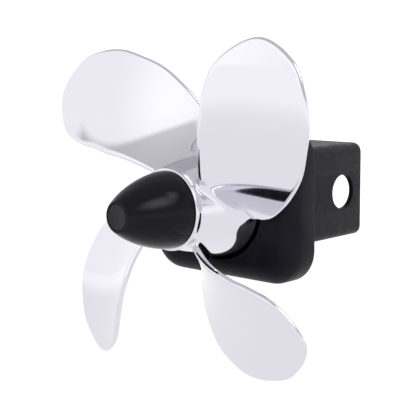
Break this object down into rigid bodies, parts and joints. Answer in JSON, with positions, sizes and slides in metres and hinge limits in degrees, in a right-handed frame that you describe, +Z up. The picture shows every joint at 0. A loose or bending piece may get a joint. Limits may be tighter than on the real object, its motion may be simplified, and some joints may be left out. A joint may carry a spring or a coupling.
{
  "type": "propeller receiver cover",
  "caption": "Tow-bar receiver cover: a chrome bladed propeller with a black nose cone spins freely in front of a rounded flange on a square shank with a pin hole.",
  "frame": {"origin": "on the shank's axis, at the flange's rear face, where the receiver's mouth is", "axes": "+Y along the shank towards the vehicle, +Z up, +X to the right seen from the nose"},
  "size_m": [0.1596, 0.155, 0.1596],
  "materials": {
    "chrome": "mirror-bright plating on a moulded propeller",
    "gloss_black": "gloss black moulding",
    "satin_black": "satin black moulding",
    "grey_plastic": "matte dark grey moulding",
    "black_steel": "satin black powder coat",
    "zinc_steel": "bright zinc plate",
    "bearing_steel": "ground steel",
    "brass": "pressed brass cage with its steel balls",
    "seal_rubber": "matte black rubber"
  },
  "bodies": {
    "mount": {"shank_tube": "black_steel", "shank_end_plate": "black_steel", "flange_shell": "satin_black", "flange_rear_cover": "satin_black", "cover_screw_1": "zinc_steel", "cover_screw_2": "zinc_steel", "cover_screw_3": "zinc_steel", "cover_screw_4": "zinc_steel", "shank_screw_1": "zinc_steel", "shank_screw_2": "zinc_steel", "shank_screw_3": "zinc_steel", "shank_screw_4": "zinc_steel", "axle_bolt": "zinc_steel", "axle_washer_rear": "zinc_steel", "hub_standoff_collar": "zinc_steel", "bearing_spacer_sleeve": "zinc_steel", "axle_washer_front": "zinc_steel", "axle_lock_nut": "zinc_steel", "rear_bearing_inner_race": "bearing_steel", "front_bearing_inner_race": "bearing_steel"},
    "propeller": {"hub_barrel": "chrome", "blade_1": "chrome", "blade_2": "chrome", "blade_3": "chrome", "blade_4": "chrome", "nose_cone": "gloss_black", "nose_end_plug": "grey_plastic", "rear_retaining_ring": "zinc_steel", "front_retaining_ring": "zinc_steel", "hub_dust_seal": "seal_rubber", "rear_bearing_outer_race": "bearing_steel", "front_bearing_outer_race": "bearing_steel"},
    "rear_ball_set": {"rear_bearing_ball_cage": "brass"},
    "front_ball_set": {"front_bearing_ball_cage": "brass"}
  },
  "joints": [
    {"name": "propeller_spin", "type": "hinge", "parent": "mount", "child": "propeller", "pos_m": [0, -0.03, 0], "axis": [0, 1, 0], "continuous": true},
    {"name": "rear_ball_set_spin", "type": "hinge", "parent": "mount", "child": "rear_ball_set", "pos_m": [0, -0.0165, 0], "axis": [0, 1, 0], "continuous": true},
    {"name": "front_ball_set_spin", "type": "hinge", "parent": "mount", "child": "front_ball_set", "pos_m": [0, -0.0435, 0], "axis": [0, 1, 0], "continuous": true}
  ],
  "couplings": [
    {"joint": "rear_ball_set_spin", "follows": "propeller_spin", "ratio": 0.605},
    {"joint": "front_ball_set_spin", "follows": "propeller_spin", "ratio": 0.605}
  ]
}
